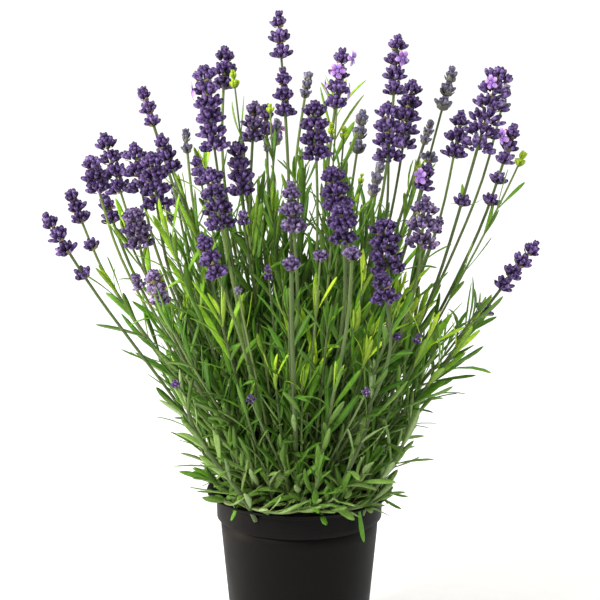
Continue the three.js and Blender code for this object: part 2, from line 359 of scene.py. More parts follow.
# Papery bracts under each whorl, olive to brown or grey, with darker veins
def makeBract(name, stops):
    material, tree, shader = newMaterial(name, Roughness=0.7, IOR=1.4)
    growth = addNode(tree, "UVMap", uv_map="growth").outputs["UV"]
    veins = addNode(tree, "TexWave", {"Scale": 3.0, "Distortion": 1.5, "Detail": 2.0, "Vector": growth})
    mixed = addMath(tree, "MULTIPLY_ADD", veins.outputs["Fac"], 0.25, readTint(tree))
    dress(tree, shader, addRamp(tree, mixed, stops), veins.outputs["Fac"], 0.3, 0.0002)
    return material


# Square green stem with short grey hairs and long faint grooves
def makeStem():
    material, tree, shader = newMaterial("lavender_stem_green", Roughness=0.6, IOR=1.4, Sheen_Weight=0.3,
                                         Sheen_Tint=srgb("#dbe6c4"), Subsurface_Weight=0.05,
                                         Subsurface_Scale=0.001)
    drawnOut = addNode(tree, "Mapping", {"Scale": (1.0, 1.0, 0.05), "Vector": readPlace(tree)})
    streak = addNoise(tree, 1800.0, 3.0, drawnOut.outputs["Vector"])
    mixed = addMath(tree, "ADD", addMath(tree, "MULTIPLY_ADD", streak, 0.5, -0.25), readTint(tree))
    colour = addRamp(tree, mixed, [(0.0, "#2c3a1a"), (1.0, "#a0ac7a"), (0.35, "#4c5f2c"), (0.65, "#728445")])
    dress(tree, shader, colour, streak, 0.3, 0.0002)
    return material


# Old lavender wood: grey-brown bark that splits into flakes
def makeBark():
    material, tree, shader = newMaterial("lavender_bark", Roughness=0.88, IOR=1.45)
    flakes = addNoise(tree, 500.0, 5.0)
    colour = addRamp(tree, flakes, [(0.3, "#2f241b"), (0.75, "#94826a"), (0.5, "#5f4e3c")])
    dress(tree, shader, colour, flakes, 0.7, 0.0006)
    return material


# Moist peat compost: dark crumbs of many sizes
def makeCompost():
    material, tree, shader = newMaterial("peat_compost", Roughness=0.95, IOR=1.4)
    crumbs = addNode(tree, "TexVoronoi", {"Scale": 450.0, "Vector": readPlace(tree)}).outputs["Distance"]
    mixed = addMath(tree, "MULTIPLY_ADD", crumbs, 0.5, addNoise(tree, 260.0, 6.0))
    colour = addRamp(tree, mixed, [(0.35, "#120c08"), (1.0, "#6d5138"), (0.62, "#2d1f15"), (0.8, "#45301f")])
    dress(tree, shader, colour, mixed, 0.8, 0.001)
    return material


# Injection-moulded black polypropylene: a satin skin with a very fine grain and cloudy gloss
def makePotPlastic():
    material, tree, shader = newMaterial("black_polypropylene_satin", IOR=1.49, Specular_IOR_Level=0.08)
    cloud = addNoise(tree, 30.0, 5.0)
    colour = addRamp(tree, cloud, [(0.3, "#090807"), (0.75, "#0e0d0b"), (0.5, "#0b0a09")])
    tree.links.new(addRange(tree, cloud, 0.3, 0.7, 0.42, 0.56), shader.inputs["Roughness"])
    dress(tree, shader, colour, addNoise(tree, 1500.0, 2.0), 0.12, 0.0002)
    return material


leafBlade = makeLeafBlade()
# the colour ramp of each kind of cup, then the colours of its foot (partly painted shade), its rim (a painted
# highlight) and its tip
headMaterials = {
    "rich": makeCalyxDown("violet_calyx_down", [(0.0, "#120920"), (1.0, "#b79fce"), (0.3, "#2b1742"),
                          (0.55, "#48306a"), (0.8, "#7c609e")], "#211a23", "#9a80b8", "#1a0f30"),
    "dusky": makeCalyxDown("dusky_calyx_down", [(0.0, "#190f2a"), (1.0, "#c4b3d1"), (0.3, "#36254c"),
                           (0.55, "#57446c"), (0.8, "#86729a")], "#2f2a29", "#a893c0", "#241937"),
    "grey": makeCalyxDown("grey_violet_calyx_down", [(0.0, "#33303c"), (1.0, "#bab4c6"), (0.3, "#57536a"),
                          (0.6, "#7d778f"), (0.8, "#9892a8")], "#59604a", "#a9a3b8", "#3e3a52"),
    "lime": makeCalyxDown("young_lime_calyx_down", [(0.0, "#55700f"), (1.0, "#d6ea48"), (0.5, "#98ba1e")],
                          "#7f9a2c", "#cfe257", "#b4cf3a"),
}
petal = makePetal()
bractPaper = makeBract("papery_brown_bract", [(0.0, "#33272c"), (1.0, "#938a5c"), (0.5, "#5d503a")])
headMaterials["oliveBract"] = makeBract("grey_olive_bract", [(0.0, "#454149"), (1.0, "#8d8c7c"),
                                                             (0.5, "#65635f")])
stemGreen = makeStem()
crownBark = makeBark()
compost = makeCompost()
potPlastic = makePotPlastic()
print("materials made")


leafValues = {
    "length": 36 * mm,
    "width": 4.1 * mm,
    "thickness": 0.8 * mm,
    "thinnest": 0.4,    # share of the thickness where the leaf has no width
    "taper": [(0, 0.3), (0.12, 0.48), (0.35, 0.82), (0.6, 1), (0.82, 0.84), (0.95, 0.46), (1, 0.08)],
}

bractValues = {
    "length": 4.6 * mm,
    "width": 4.2 * mm,
    "thickness": 0.5 * mm,
    "thinnest": 1.0,
    "taper": [(0, 0.4), (0.3, 1.0), (0.6, 0.85), (1, 0.08)],
}

lobeValues = {
    "length": 4.2 * mm,
    "width": 3.4 * mm,
    "thickness": 0.35 * mm,
    "thinnest": 1.0,
    "taper": [(0, 0.45), (0.4, 1.0), (0.8, 0.85), (1, 0.3)],
}

# half a turn of this outline is the upper side, with the midrib sunk in its middle
bladeOutline = [(1, -0.3), (0.5, 0.35), (0, 0.05), (-0.5, 0.35), (-1, -0.3), (0, -0.6)]


def makeBlade(name, values, broad, forward, sideways=0.0, twist=0.0):
    bm = newShape()
    length, half = values["length"], values["width"] * broad / 2
    stations = []
    for t, width in values["taper"]:
        thick = values["thickness"] * (values["thinnest"] + (1 - values["thinnest"]) * width)
        stations.append(station(length * t, half * width, thick))
    sweep(bm, bladeOutline, stations)
    mapAround(bm, length)
    bend(bm, length, forward, sideways, twist)
    return toMesh(bm, name)


# breadth, bend forward, bend sideways and twist of each leaf
leafShapes = {
    "leaf_straight": (1.0, 0.1, 0.02, 0.2),
    "leaf_arched_out": (1.0, -0.5, 0.03, 0.3),
    "leaf_arched_in": (0.9, 0.5, -0.03, -0.3),
    "leaf_swept_left": (1.1, -0.2, 0.12, 0.7),
    "leaf_swept_right": (0.9, 0.2, -0.12, -0.7),
    "leaf_drooping": (1.1, -0.9, 0.05, 0.4),
    "leaf_broad": (1.22, -0.3, 0.0, 0.2),
}
leaves = [makeBlade(name, leafValues, *shape) for name, shape in leafShapes.items()]
upperLeaves = leaves[:5]
bractScale = makeBlade("bract_scale", bractValues, 1.0, 0.5)

calyxValues = {
    "length": 7.2 * mm,
    "radius": 1.66 * mm,
    "sides": 7,
    "profile": [(0, 0.3), (0.13, 0.64), (0.38, 0.95), (0.64, 1.06), (0.83, 0.88), (0.95, 0.52), (1.0, 0.18)],
}

corollaValues = {
    "length": 3.0 * mm,
    "radius": 0.9 * mm,
    "sides": 6,
    "profile": [(0, 0.8), (0.6, 0.9), (1, 1.3)],
    "mapped": 3,    # the colour ramp runs on past the tube
    "lobeCurl": -0.6,
    "lobeTilts": [50, 50, 95, 110, 95],    # two lobes stand up, three hang as the lower lip
    "lobeTurns": [60, 120, 190, 270, 350],
    "lobeStart": 0.9,
}


def makeTube(name, values, fullness, forward, mapped=1):
    bm = newShape()
    length, radius = values["length"], values["radius"] * fullness
    sweep(bm, ringOf(values["sides"]), [station(length * t, radius * share, radius * share)
                                        for t, share in values["profile"]])
    mapAround(bm, length * mapped)
    bend(bm, length, forward)
    return toMesh(bm, name)


calyces = [makeTube("calyx_full", calyxValues, 1.0, 0.2), makeTube("calyx_slim", calyxValues, 0.84, 0.1),
           makeTube("calyx_curved", calyxValues, 0.95, 0.4)]


def makeCorolla():
    v = corollaValues
    tube = makeTube("corolla_tube", v, 1.0, 0.0, v["mapped"])
    lobe = makeBlade("corolla_lobe", lobeValues, 1.0, v["lobeCurl"])
    bm = newShape()
    addCopy(bm, tube, Matrix.Identity(4), 0.5)
    for tilt, turn in zip(v["lobeTilts"], v["lobeTurns"]):
        outward = outwardAt(math.radians(turn))
        lean = math.radians(tilt)
        start = upward * v["length"] * v["lobeStart"] + outward * v["radius"]
        inside = upward * math.sin(lean) - outward * math.cos(lean)
        addCopy(bm, lobe, frameFor(tilted(upward, outward, lean), inside, start), 0.6)
    return toMesh(bm, "corolla_open")


corolla = makeCorolla()
print("templates made")


readValues = {
    "stemCorners": 4,
    "ringGap": 5.8 * mm,       # a wider gap along a stalk parts two rings of corners
    "guideWidth": 2.6 * mm,    # a ring this narrow is a bend of the stem, a wider one a whorl
}

pathValues = {
    "steepStart": 0.35,
    "steepEnd": 0.1,
}


def shootPath(foot, tip, droop=0.0):
    reach = (tip - foot).length / 3
    straight = (tip - foot).normalized()
    flat = Vector((tip.x - foot.x, tip.y - foot.y, 0)).normalized()
    rise = (straight + upward * pathValues["steepStart"]).normalized()
    fall = (straight + upward * pathValues["steepEnd"] - flat * droop).normalized()
    return bezierPath(foot, foot + rise * reach, tip - fall * reach, tip)


def cornersOf(node):
    seen = {tuple(round(c, 5) for c in vert.co) for vert in frame["nodes"][node].data.vertices}
    return [Vector(corner) for corner in sorted(seen)]


def middleOf(points):
    return sum(points, Vector()) / len(points)


def readStalk(node):
    # finds the stem, the spike and the loose whorls of a stalk from the corners of its node
    points = cornersOf(node)
    tip = max(points, key=lambda p: p.z)
    foot = middleOf(sorted(points, key=lambda p: p.z)[:readValues["stemCorners"]])
    chord = (tip - foot).normalized()
    tip = max(points, key=lambda p: (p - foot).dot(chord))
    points.sort(key=lambda p: (p - foot).dot(chord))
    groups = [[points[0]]]
    for before, point in zip(points, points[1:]):
        if (point - before).dot(chord) > readValues["ringGap"]:
            groups.append([])
        groups[-1].append(point)
    guides, whorls, spike = [foot], [], groups[-1]
    for group in groups[1:-1]:
        middle = middleOf(group)
        if max((p - middle).length for p in group) < readValues["guideWidth"]:
            guides.append(middle)
        else:
            whorls.append(middle)
    guides.append(tip)
    path = smoothPath(guides)
    lean = (tip - guides[-2]).normalized()
    return {
        "node": node,
        "number": int(node[-2:]),
        "path": path,
        "start": path["total"] + min((p - tip).dot(lean) for p in spike),
        "girth": max(((p - tip) - lean * (p - tip).dot(lean)).length for p in spike),
        "whorls": [path["total"] - (tip - whorl).length for whorl in whorls],
        "tip": tip,
        "foot": foot,
    }


stalkNodes = sorted(name for name in frame["nodes"] if name.startswith("flower_stalk"))
shootNodes = sorted(name for name in frame["nodes"] if name.startswith("leafy_shoot"))
stalks = [readStalk(name) for name in stalkNodes]
paleSlots = {row["node"] for row in frame["record"]["subparts"] if row["material_slot"].startswith("young")}
print("stalks read", len(stalks))

stemFacing = Vector((0, 1, 0.2))    # the way that one flat side of a square stem turns
stemValues = {
    "side": 2.2 * mm,
    "topShare": 0.82,
    "stations": 18,
    "tones": (0.2, 0.62),
    "outline": [(1, 0.55), (0.55, 1), (-0.55, 1), (-1, 0.55), (-1, -0.55), (-0.55, -1), (0.55, -1),
                (1, -0.55)],
}

spikeValues = {
    "slimPitch": 9.2 * mm,
    "fullPitch": 9.8 * mm,
    "fullGirth": 9.8 * mm,
    "slimReach": 0.96,    # how far the calyces reach, as a share of the girth of the plain spike
    "fullReach": 1.0,
    "calyxReach": 7.6 * mm,
    "calyxRoom": 6.8 * mm,    # the part of the reach that a calyx of full size takes up
    "sizes": (0.5, 1.08),
    "leastPitch": 0.65,
    "stubStandOff": 0.7 * mm,
    "paleStandOff": 0.6 * mm,
    "girthSteps": [8.5 * mm, 9.8 * mm, 11 * mm],    # each one passed adds a calyx to the outer ring
    "outerCalyces": 6,
    # each ring: tilt, lift in mm, size and share of the outer ring's number
    "slimRings": [(70, 0.0, 0.96, 1.0), (46, 1.3, 0.98, 0.8), (18, 2.8, 0.88, 0.5)],
    "fullRings": [(72, 0.0, 1.0, 1.0), (52, 1.5, 1.0, 0.85), (28, 3.2, 0.92, 0.6)],
    "looseRings": [(66, 0.0, 1.0, 1.0), (34, 1.2, 1.0, 0.6)],
    "greyRings": [(42, 0.4, 1.05, 1.0), (14, 2.2, 0.95, 0.5)],
    "ballRings": [(50, 1.0, 1.0, 1.0), (16, 2.6, 0.95, 0.7)],
    "limeRings": [(34, 0.0, 1.0, 1.0), (14, 1.5, 0.9, 0.5)],
    "tuftCalyces": 6,
    "tuftDepth": 5.6 * mm,
    "tuftTilts": (8, 34),
    "tuftSizes": (0.62, 0.8),
    "tuftStandOff": 0.4 * mm,
    "ballHeads": [38, 45],
    "tones": {26: 0.74, 29: 0.52},    # paler heads than the rest
    "usualTones": (0.35, 0.54),
    "showyBracts": {26: 1.7, 31: 1.45, 22: 1.3, 23: 1.4, 24: 1.25},
    "dusky": [15, 21, 22, 26, 27, 29, 31],
    "bractLeaves": {41: [(0, 78, 15), (100, 12, 16), (180, 65, 7)]},
    "openFlowers": {    # distance below the tip in mm, and the way each flower faces in degrees
        32: [(11, -20), (19, -100), (30, 175), (34, -10)],
        35: [(20, -60)],
        41: [(15, -110)],
        43: [(12, -140)],
        44: [(12, -120)],
        4: [(22, 190)],
        17: [(12, 80)],
        36: [(26, 95)],
        10: [(15, 100)],
    },
}

# small heads that stand beside a stalk: offset from its tip, length and girth in mm, and the kind of down
sideHeads = {
    3: [(5.6, -10, -16.4, 14, 6.6, "lime")],
    16: [(3.5, -75, 9, 8, 4.6, "lime"), (0.7, -80, -13.7, 10, 3.8, "grey")],
    32: [(-7.7, 0, -51.6, 9, 5.0, "lime"), (1.4, 5, -55, 10, 5.0, "lime")],
    43: [(5.6, -8, -18.6, 12, 6.6, "lime")],
    45: [(-1.4, -20, -43.7, 8, 2.6, "lime")],
    4: [(-5, -10, -59.8, 21, 6.6, "rich")],
    19: [(-1.4, -60, -10, 9, 5, "grey")],
    18: [(3.5, -15, -45.5, 10, 5.6, "rich")],
    29: [(-14.7, -5, -55, 11, 3.2, "rich")],
    20: [(23.8, 0, -35, 6, 3.6, "grey")],
    21: [(18.9, 20, 0, 6, 6.4, "dusky"), (-28, 30, -98, 7, 3.8, "rich")],
    31: [(11.9, 30, -20, 12, 6, "dusky")],
    27: [(0, 0, -45, 12, 6, "dusky")],
    26: [(12.6, 20, -80, 6, 3.2, "rich")],
    23: [(-7, 10, -81, 6, 3.8, "dusky")],
    24: [(26.6, 20, -82, 8, 3.6, "rich"), (12.6, 20, -81, 6, 3.2, "rich")],
}

# how far single calyces stray from their even places
strayValues = {
    "turn": 0.16,
    "tilt": 7,
    "lift": 0.4,
    "tone": 0.26,
    "spin": 0.4,
    "sizes": (0.85, 1.12),
    "innerTone": 0.06,
    "innerStandOff": 0.35,
}

looseWhorlValues = {
    "drop": 3 * mm,
    "calyces": 7,
    "openness": 0.95,
    "standOff": 1.0 * mm,
    "bractSize": 1.3,
}

stalkLeafValues = {
    "reach": 0.42,
    "spacing": 24 * mm,
    "firstPlaces": (8, 20),
    "tilts": (14, 36),
    "lengths": (16, 24),
    "growth": 0.8,
    "tones": (0.05, 0.6),
}

limeLeafValues = {
    "firstPlaces": (26, 34),
    "reach": 0.7,
    "spacings": (18, 28),
    "tilts": (12, 24),
    "lengths": (20, 30),
    "tones": (0.35, 0.8),
    "broad": 0.8,
}

flowerValues = {
    "rise": 0.35,
    "depth": 0.62,
    "sizes": (1.05, 1.35),
}

sideHeadValues = {
    "footStep": 4 * mm,
    "stem": 1.5 * mm,
    "stemEnd": 2 * mm,
    "tones": (0.38, 0.62),
}


def stray(draw, amount):
    return draw.uniform(-amount, amount)


def addStem(bm, path, end, side, draw, count=stemValues["stations"]):
    tone = draw.uniform(*stemValues["tones"])
    places = []
    for i in range(count + 1):
        spot, tangent = placeOn(path, end * i / count)
        half = side / 2 * (1 - (1 - stemValues["topShare"]) * i / count)
        places.append(frameFor(tangent, stemFacing, spot) @ Matrix.Diagonal((half, half, 1, 1)))
    sweep(bm, stemValues["outline"], places, tone)


def sideWays(axis, turn):
    return Matrix.Rotation(turn, 3, axis) @ frameFor(axis, stemFacing, Vector()).to_3x3().col[0]


def addCalyx(bm, base, axis, turn, tilt, size, tone, draw, standOff):
    across = sideWays(axis, turn)
    matrix = frameFor(tilted(axis, across, tilt), axis - across * 0.001, base + across * standOff)
    spin = Matrix.Rotation(stray(draw, strayValues["spin"]), 4, "Z")
    addCopy(bm, draw.choice(calyces), matrix @ spin @ Matrix.Scale(size, 4), tone)


def addWhorl(bm, path, distance, size, count, openness, tone, draw, standOff, rings):
    v = strayValues
    spot, axis = placeOn(path, distance)
    first = draw.uniform(0, 2 * math.pi)
    for ring, (tilt, lift, scale, share) in enumerate(rings):
        number = max(round(count * share), 3)
        for k in range(number):
            turn = first + 2 * math.pi * (k + 0.5 * ring) / number + stray(draw, v["turn"])
            lean = math.radians(tilt * openness + stray(draw, v["tilt"]))
            base = spot + axis * (lift * size + stray(draw, v["lift"])) * mm
            shade = min(max(tone + v["innerTone"] * ring + stray(draw, v["tone"]), 0.02), 0.98)
            addCalyx(bm, base, axis, turn, lean, size * scale * draw.uniform(*v["sizes"]), shade, draw,
                     standOff * (1 - v["innerStandOff"] * ring))
    return spot, axis, first


def addBracts(bm, spot, axis, first, size, draw, standOff=0.5 * mm, number=2, tilts=(60, 78)):
    for k in range(number):
        across = sideWays(axis, first + 2 * math.pi * k / number + stray(draw, 0.3))
        direction = tilted(axis, across, math.radians(draw.uniform(*tilts)))
        matrix = frameFor(direction, axis, spot - axis * 1.3 * mm + across * standOff)
        addCopy(bm, bractScale, matrix @ Matrix.Scale(size, 4), draw.uniform(0.1, 0.9))


def addLeaf(bm, spot, tangent, turn, tilt, length, tone, draw, broad=1.0, choices=upperLeaves, lowest=-1.0):
    # no leaf points down more steeply than `lowest`
    across = sideWays(tangent, turn)
    direction = tilted(tangent, across, tilt)
    direction.z = max(direction.z, lowest)
    matrix = frameFor(direction, tangent - across * 0.001, spot + across * 0.4 * mm)
    spin = Matrix.Rotation(stray(draw, 0.35), 4, "Z")
    scale = length / leafValues["length"]
    size = Matrix.Diagonal((scale ** 0.4 * broad, scale ** 0.5, scale, 1))
    addCopy(bm, draw.choice(choices), matrix @ spin @ size, tone)


def addPair(bm, path, distance, turn, tilts, lengths, tones, draw, *shape):
    # two leaves face each other across the stem
    spot, tangent = placeOn(path, distance)
    for half in (0, 1):
        tilt = math.radians(draw.uniform(*tilts))
        length = draw.uniform(*lengths) * mm
        tone = min(max(draw.uniform(*tones), 0.01), 0.99)
        addLeaf(bm, spot, tangent, turn + math.pi * half, tilt, length, tone, draw, *shape)


def addHead(bm, path, start, end, girth, kind, tone, draw, slots, bractSize=1.0, ball=False):
    # whorls from the neck of a spike to its tip, bracts below each whorl and a tuft of buds on top
    v = spikeValues
    pale = kind in ("grey", "lime")
    full = girth >= v["fullGirth"]
    reach = girth * (v["fullReach"] if full else v["slimReach"])
    smallest, largest = v["sizes"]
    size = min(max(reach / v["calyxReach"], smallest), largest)
    standOff = v["paleStandOff"] if pale else max(reach - v["calyxRoom"] * size, v["stubStandOff"])
    pitch = (v["fullPitch"] if full else v["slimPitch"]) * max(size, v["leastPitch"])
    count = max(1, round((end - start) / pitch))
    pitch = (end - start) / (count + 0.2)
    outer = v["outerCalyces"] + sum(girth >= step for step in v["girthSteps"])
    rings = v["fullRings" if full else "slimRings"]
    if pale:
        rings = v["ballRings" if ball else kind + "Rings"]
    elif count == 1:
        rings = v["looseRings"]
    spots = []
    painted = len(bm.faces)
    for i in range(count):
        # whorls swell a little above the neck, then shrink and close towards the tip
        share = i / max(count - 1, 1)
        shrink = 0.96 + 0.18 * share - 0.32 * share ** 2 if count > 1 else 1
        openness = 1.06 - 0.3 * share if count > 1 else 0.95
        spot, axis, first = addWhorl(bm, path, start + pitch * (i + 0.14), size * shrink, outer, openness,
                                     tone, draw, standOff * shrink, rings)
        spots.append((spot, axis, first, size * shrink))
    spot, axis = placeOn(path, end - v["tuftDepth"] * size)
    for k in range(v["tuftCalyces"]):
        lean = math.radians(draw.uniform(*v["tuftTilts"]))
        turn = 2 * math.pi * k / v["tuftCalyces"] + stray(draw, 0.3)
        addCalyx(bm, spot, axis, turn, lean, size * draw.uniform(*v["tuftSizes"]), tone, draw,
                 v["tuftStandOff"])
    painted = paint(bm, painted, slots[kind])
    for spot, axis, first, scale in spots if kind != "lime" else []:
        if ball:
            # these immature whorls are balls of overlapping bracts
            addBracts(bm, spot, axis, first, scale * 1.4, draw, 1.2 * mm, 5, (50, 60))
            addBracts(bm, spot + axis * 1.2 * mm, axis, first + 0.6, scale * 1.3, draw, 1.2 * mm, 4, (30, 40))
        elif kind == "grey":
            addBracts(bm, spot, axis, first, scale * 1.3, draw, 0.8 * mm, 4, (42, 54))
        else:
            addBracts(bm, spot, axis, first, scale * bractSize, draw, standOff * 0.8, 3)
    paint(bm, painted, slots["oliveBract" if kind == "grey" else "bract"])


def addLooseWhorl(bm, stalk, distance, kind, tone, draw, slots):
    v = looseWhorlValues
    painted = len(bm.faces)
    spot, axis, first = addWhorl(bm, stalk["path"], distance - v["drop"], 1.0, v["calyces"], v["openness"],
                                 tone, draw, v["standOff"], spikeValues["looseRings"])
    painted = paint(bm, painted, slots[kind])
    addBracts(bm, spot, axis, first, v["bractSize"], draw)
    painted = paint(bm, painted, slots["bract"])
    for turn, tilt, long in spikeValues["bractLeaves"].get(stalk["number"], []):
        addLeaf(bm, spot - axis * mm, axis, math.radians(turn), math.radians(tilt), long * mm, 0.7, draw)
    paint(bm, painted, slots["leaf"])


def addOpenFlowers(bm, stalk, draw, slots):
    painted = len(bm.faces)
    for drop, facing in spikeValues["openFlowers"].get(stalk["number"], []):
        spot, axis = placeOn(stalk["path"], stalk["path"]["total"] - drop * mm)
        outward = outwardAt(math.radians(facing), flowerValues["rise"]).normalized()
        matrix = frameFor(outward, axis, spot + outward * (stalk["girth"] * flowerValues["depth"]))
        spin = Matrix.Rotation(stray(draw, 0.5), 4, "Z")
        size = Matrix.Scale(draw.uniform(*flowerValues["sizes"]), 4)
        addCopy(bm, corolla, matrix @ spin @ size, 0.5)
    paint(bm, painted, slots["petal"])


def addSideHead(bm, stalk, head, draw, slots):
    dx, dy, dz, long, wide, kind = head
    v = sideHeadValues
    foot = stalk["foot"] + Vector((dx, dy, 0)).normalized() * v["footStep"]
    path = shootPath(foot, stalk["tip"] + Vector((dx, dy, dz)) * mm)
    top = path["total"]
    painted = len(bm.faces)
    addStem(bm, path, top - v["stemEnd"], v["stem"], draw)
    paint(bm, painted, slots["stem"])
    addHead(bm, path, top - long * mm, top, wide * mm, kind, draw.uniform(*v["tones"]), draw, slots)
    painted = len(bm.faces)
    v = limeLeafValues
    drop, turn = (long + draw.uniform(*v["firstPlaces"])) * mm, draw.uniform(0, math.pi)
    while kind == "lime" and drop < top * v["reach"]:
        addPair(bm, path, top - drop, turn, v["tilts"], v["lengths"], v["tones"], draw, v["broad"])
        drop, turn = drop + draw.uniform(*v["spacings"]) * mm, turn + math.pi / 2
    paint(bm, painted, slots["leaf"])


def addStalkLeaves(bm, stalk, draw, slots):
    v = stalkLeafValues
    end = v["reach"] * stalk["start"]
    painted = len(bm.faces)
    distance = draw.uniform(*v["firstPlaces"]) * mm
    turn = draw.uniform(0, math.pi)
    while distance < end:
        grown = 1 + v["growth"] * distance / end
        lengths = [length * grown for length in v["lengths"]]
        addPair(bm, stalk["path"], distance, turn, v["tilts"], lengths, v["tones"], draw)
        distance += v["spacing"] * draw.uniform(0.8, 1.2)
        turn += math.pi / 2 + stray(draw, 0.2)
    paint(bm, painted, slots["leaf"])


def makeStalk(stalk, index):
    draw = random.Random(700 + index)
    v = spikeValues
    pale = stalk["node"] in paleSlots
    number = stalk["number"]
    kind = "grey" if pale else "dusky" if number in v["dusky"] else "rich"
    heads = sideHeads.get(number, [])
    kinds = [kind] + sorted({head[5] for head in heads} - {kind})
    if "grey" in kinds:
        kinds.append("oliveBract")
    slots = {name: place for place, name in enumerate(["stem", "bract", "petal", "leaf"] + kinds)}
    bm = newShape()
    path, start, girth = stalk["path"], stalk["start"], stalk["girth"]
    # a stalk with a very short head has a stouter stem
    stout = 1.35 if path["total"] - start < 12 * mm else 1
    addStem(bm, path, path["total"] - 4 * mm, stemValues["side"] * draw.uniform(0.85, 1.15) * stout, draw)
    tone = v["tones"].get(number, draw.uniform(*v["usualTones"]))
    addHead(bm, path, start, path["total"], girth, kind, tone, draw, slots, v["showyBracts"].get(number, 1),
            number in v["ballHeads"])
    for distance in stalk["whorls"]:
        addLooseWhorl(bm, stalk, distance, kind, tone, draw, slots)
    addOpenFlowers(bm, stalk, draw, slots)
    for head in heads:
        addSideHead(bm, stalk, head, draw, slots)
    addStalkLeaves(bm, stalk, draw, slots)
    materials = [stemGreen, bractPaper, petal, leafBlade] + [headMaterials[name] for name in kinds]
    return finishPiece(bm, "lavender_" + stalk["node"], materials, [stalk["node"]])


for index, stalk in enumerate(stalks):
    makeStalk(stalk, index)
print("flower stalks made")


shootValues = {
    "count": 104,
    "footRadius": 45 * mm,
    "tipRadius": 120 * mm,
    "topHeight": 356 * mm,
    "edgeDrop": 104 * mm,
    "lengths": [0.6, 0.7, 0.8, 0.92, 1.0],
    "turn": 2.39996,    # the golden angle spreads the feet evenly
    "innerShare": 0.62,
    "side": 1.9 * mm,
    "stations": 10,
}

# shoots that stand round the crown, just above the lip
skirtValues = {
    "count": 36,
    "footDrop": 4 * mm,
    "feet": (40, 50),
    "tips": (56, 80),
    "heights": (134, 176),
    "bareLip": 0.74,    # beyond this share of the radius, left and right, the skirt stands back
    "bareReach": 0.8,
    "bareLift": 12 * mm,
}

shootLeafValues = {
    "spacing": 14 * mm,
    "topGap": 1 * mm,
    "bareFoot": 0.14,
    "lowBareFoot": 0.04,
    "youngPairs": 2,
    "youngSpacing": 0.36,
    "youngTone": 0.12,
    "stray": 0.12,
}

# tints at the tip and near the ground, and what sets the shoots at the rim apart
# the inner shoots are tinted deep green near the ground: partly older leaves, partly painted shade inside the
# plant
innerTips, innerShadeBase = [0.35, 0.45, 0.55, 0.7], 0.3
tallTips, tallBases = [0.45, 0.55, 0.65, 0.8, 0.95], [0.0, 0.08, 0.2, 0.4]
brightTip, brightBase = 0.86, 0.3
rimTips, skirtTips = (0.0, 0.12), (0.1, 0.6)
rimLook = {"old": 0.02, "broad": 1.25, "leafRange": (22, 38), "droop": 0.5, "spacing": 1.1, "stout": 1.35}
skirtLook = {"old": 0.05, "broad": 1.35, "leafRange": (16, 32), "droop": 0.4, "spacing": 0.75}
youngTips = {1: 0.7, 3: 0.8, 4: 0.85, 5: 0.85, 6: 0.45, 8: 0.6}
usualTip = 0.5
# bright new shoots beside a leafy shoot: offset from its tip in mm
brightShoots = {6: [(-12, -12, -21)], 2: [(33, 6, 5), (-2, 21, 58)], 3: [(-12, -60, -8)], 1: [(12, -44, 47)]}
# stout old shoots that lean out over the lip: foot and tip in mm
rimShoots = [((-30, -52, 118), (-76, -66, 212)), ((20, -52, 118), (48, -74, 222)),
             ((44, -38, 118), (76, -46, 196)), ((50, 28, 118), (88, 50, 196)),
             ((-50, 28, 118), (-84, 46, 186)), ((2, 56, 118), (-10, 90, 190))]

# shoots that lie on the lip: the angle where each starts and ends
trails = [(-142, -84), (-98, -30), (-60, -28), (134, 166), (24, 62), (84, 132), (-156, -128)]
trailValues = {
    # share of the length, reach as a share of the lip's radius, and rise above the lip in mm
    "shape": [(0, 0.6, -6), (0.2, 0.86, 0.5), (0.45, 1.0, 2.2), (0.75, 1.03, 2.6), (1, 1.0, 6)],
    "side": 2.1 * mm,
    "stations": 16,
    "firstTurn": 0.4,
    "bareFoot": 0.12,
    "tilts": (28, 52),
    "lengths": (12, 22),
    "tones": (0.02, 0.3),
    "broad": 1.25,
    "lowest": (-0.1, 0.5),
    "spacings": (6, 10),
}

# single leaves that hang over the lip: angle, tilt from upright and length in mm
hangingLeaves = [(-48.6, 174, 26), (-24, 122, 17), (-12, 108, 16), (190, 84, 17), (-133, 150, 12),
                 (-76, 130, 12), (35, 140, 16), (70, 120, 14), (118, 155, 17), (160, 130, 15)]
hangingValues = {
    "inset": 2.4 * mm,
    "rise": 1.6 * mm,
    "tones": (0.3, 0.6),
}


def readShoot(node):
    points = sorted(cornersOf(node), key=lambda p: p.z)
    foot = middleOf(points[:readValues["stemCorners"]])
    return {"node": node, "number": int(node[-2:]), "foot": foot, "tip": points[-1], "extra": []}


def nearestShoot(angle):
    # the shoot whose tip lies closest to a direction seen from above, in degrees
    def apart(shoot):
        here = math.degrees(math.atan2(shoot["tip"].y, shoot["tip"].x))
        return abs((here - angle + 180) % 360 - 180)
    return min(shoots, key=apart)


def shareOutInner(draw, level):
    # an even spread of shoots fills the plant, each given to the leafy shoot that is nearest
    v = shootValues
    for k in range(v["count"]):
        share = math.sqrt((k + 0.5) / v["count"])
        outward = outwardAt(k * v["turn"] + stray(draw, 0.2))
        foot = outward * v["footRadius"] * share + upward * level
        tip = outward * v["tipRadius"] * share * draw.uniform(0.88, 1.04)
        tip.z = v["topHeight"] - v["edgeDrop"] * share ** 2
        tip = foot + (tip - foot) * draw.choice(v["lengths"])
        nearest = min(shoots, key=lambda s: (s["tip"].xy - tip.xy).length)
        nearest["extra"].append(("inner" if share < v["innerShare"] else "tall", foot, tip))


